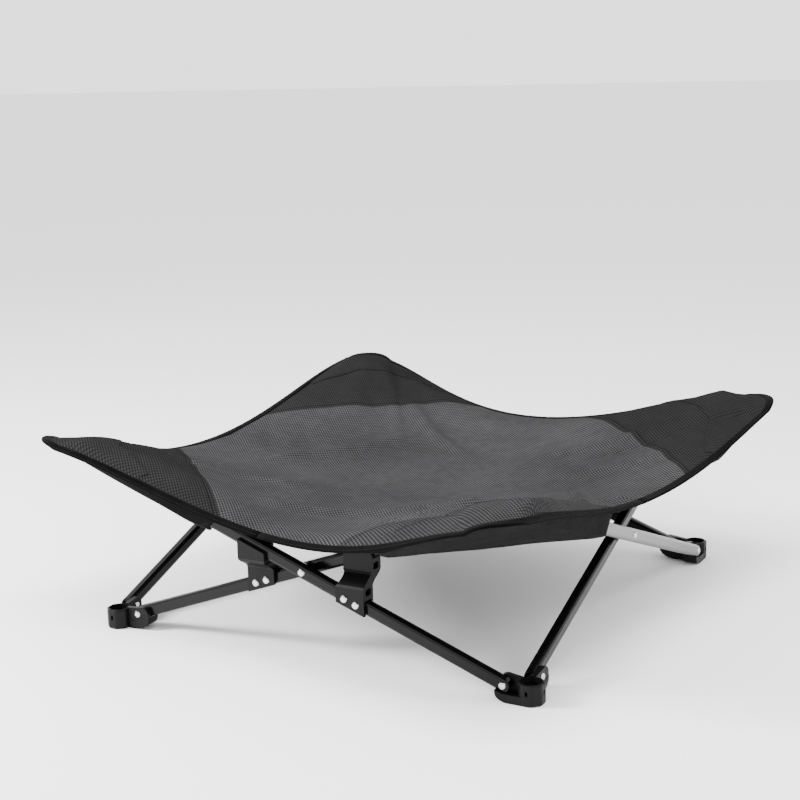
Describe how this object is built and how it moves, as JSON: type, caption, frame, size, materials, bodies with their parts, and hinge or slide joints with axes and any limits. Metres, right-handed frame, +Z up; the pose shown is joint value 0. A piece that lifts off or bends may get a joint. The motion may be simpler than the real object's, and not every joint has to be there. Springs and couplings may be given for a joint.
{
  "type": "camping dog bed",
  "caption": "Folding raised camping bed for a dog: a mesh sheet with swept-up corner tips on a crossed-tube scissor frame with moulded feet.",
  "frame": {"origin": "on the ground under the middle of the bed", "axes": "+Z up, -Y towards the front side, +X to the right of someone facing the bed from the front"},
  "size_m": [0.9736, 0.9736, 0.3045],
  "materials": {
    "black_tube": "gloss",
    "bright_tube": "satin",
    "black_plastic": "satin",
    "chrome": "polished",
    "mesh_cloth": "woven",
    "tape_cloth": "woven",
    "pocket_cloth": "woven"
  },
  "bodies": {
    "foot_front_right": {"foot_front_right": "black_plastic", "front_outer_foot_rivet": "chrome", "right_inner_foot_rivet": "chrome"},
    "foot_back_right": {"foot_back_right": "black_plastic", "right_outer_foot_rivet": "chrome", "back_inner_foot_rivet": "chrome"},
    "foot_back_left": {"foot_back_left": "black_plastic", "back_outer_foot_rivet": "chrome", "left_inner_foot_rivet": "chrome"},
    "foot_front_left": {"foot_front_left": "black_plastic", "front_inner_foot_rivet": "chrome", "left_outer_foot_rivet": "chrome", "sleeping_sheet": "mesh_cloth", "edge_binding": "tape_cloth"},
    "front_inner": {"front_inner_tube": "black_tube", "front_inner_plug": "black_plastic", "front_inner_stop_bracket": "black_plastic", "front_inner_bracket_rivet_1": "chrome", "front_inner_bracket_rivet_2": "chrome"},
    "front_outer": {"front_outer_tube": "black_tube", "front_outer_plug": "black_plastic", "front_crossing_rivet": "chrome", "front_crossing_bush": "black_plastic", "corner_pocket_front_left": "pocket_cloth", "tip_patch_front_left": "tape_cloth", "front_outer_stop_bracket": "black_plastic", "front_outer_bracket_rivet_1": "chrome", "front_outer_bracket_rivet_2": "chrome"},
    "right_inner": {"right_inner_tube": "black_tube", "right_inner_plug": "black_plastic"},
    "right_outer": {"right_outer_tube": "bright_tube", "right_outer_plug": "black_plastic", "right_crossing_rivet": "chrome", "right_crossing_bush": "black_plastic", "corner_pocket_front_right": "pocket_cloth", "tip_patch_front_right": "tape_cloth"},
    "back_inner": {"back_inner_tube": "black_tube", "back_inner_plug": "black_plastic", "back_inner_stop_bracket": "black_plastic", "back_inner_bracket_rivet_1": "chrome", "back_inner_bracket_rivet_2": "chrome"},
    "back_outer": {"back_outer_tube": "black_tube", "back_outer_plug": "black_plastic", "back_crossing_rivet": "chrome", "back_crossing_bush": "black_plastic", "corner_pocket_back_right": "pocket_cloth", "tip_patch_back_right": "tape_cloth", "back_outer_stop_bracket": "black_plastic", "back_outer_bracket_rivet_1": "chrome", "back_outer_bracket_rivet_2": "chrome"},
    "left_inner": {"left_inner_tube": "black_tube", "left_inner_plug": "black_plastic"},
    "left_outer": {"left_outer_tube": "black_tube", "left_outer_plug": "black_plastic", "left_crossing_rivet": "chrome", "left_crossing_bush": "black_plastic", "corner_pocket_back_left": "pocket_cloth", "tip_patch_back_left": "tape_cloth"}
  },
  "joints": [
    {"name": "fold", "type": "hinge", "parent": "foot_front_left", "child": "front_inner", "pos_m": [-0.317, -0.338, 0.024], "axis": [0, -1, 0], "range_deg": [0, 60], "deforming": ["sleeping_sheet", "edge_binding", "corner_pocket_front_right", "corner_pocket_back_right", "corner_pocket_back_left", "corner_pocket_front_left", "tip_patch_front_right", "tip_patch_back_right", "tip_patch_back_left", "tip_patch_front_left"]},
    {"name": "front_crossing", "type": "hinge", "parent": "front_inner", "child": "front_outer", "pos_m": [0, -0.35, 0.14063], "axis": [0, 1, 0], "range_deg": [0, 120]},
    {"name": "front_right_foot", "type": "hinge", "parent": "front_outer", "child": "foot_front_right", "pos_m": [0.317, -0.362, 0.024], "axis": [0, -1, 0], "range_deg": [0, 60]},
    {"name": "left_outer_pivot", "type": "hinge", "parent": "foot_front_left", "child": "left_outer", "pos_m": [-0.362, -0.317, 0.024], "axis": [1, 0, 0], "range_deg": [0, 60]},
    {"name": "left_crossing", "type": "hinge", "parent": "left_outer", "child": "left_inner", "pos_m": [-0.35, 0, 0.14063], "axis": [-1, 0, 0], "range_deg": [0, 120]},
    {"name": "back_left_foot", "type": "hinge", "parent": "left_inner", "child": "foot_back_left", "pos_m": [-0.338, 0.317, 0.024], "axis": [1, 0, 0], "range_deg": [0, 60]},
    {"name": "right_inner_pivot", "type": "hinge", "parent": "foot_front_right", "child": "right_inner", "pos_m": [0.338, -0.317, 0.024], "axis": [1, 0, 0], "range_deg": [0, 60]},
    {"name": "right_crossing", "type": "hinge", "parent": "right_inner", "child": "right_outer", "pos_m": [0.35, 0, 0.14063], "axis": [-1, 0, 0], "range_deg": [0, 120]},
    {"name": "back_right_foot", "type": "hinge", "parent": "right_outer", "child": "foot_back_right", "pos_m": [0.362, 0.317, 0.024], "axis": [1, 0, 0], "range_deg": [0, 60]},
    {"name": "back_outer_pivot", "type": "hinge", "parent": "foot_back_left", "child": "back_outer", "pos_m": [-0.317, 0.362, 0.024], "axis": [0, -1, 0], "range_deg": [0, 60]},
    {"name": "back_crossing", "type": "hinge", "parent": "back_outer", "child": "back_inner", "pos_m": [0, 0.35, 0.14063], "axis": [0, 1, 0], "range_deg": [0, 120]}
  ],
  "couplings": [
    {"joint": "front_crossing", "follows": "fold", "ratio": 2},
    {"joint": "front_right_foot", "follows": "fold", "ratio": 1},
    {"joint": "left_outer_pivot", "follows": "fold", "ratio": 1},
    {"joint": "left_crossing", "follows": "fold", "ratio": 2},
    {"joint": "back_left_foot", "follows": "fold", "ratio": 1},
    {"joint": "right_inner_pivot", "follows": "fold", "ratio": 1},
    {"joint": "right_crossing", "follows": "fold", "ratio": 2},
    {"joint": "back_right_foot", "follows": "fold", "ratio": 1},
    {"joint": "back_outer_pivot", "follows": "fold", "ratio": 1},
    {"joint": "back_crossing", "follows": "fold", "ratio": 2}
  ]
}
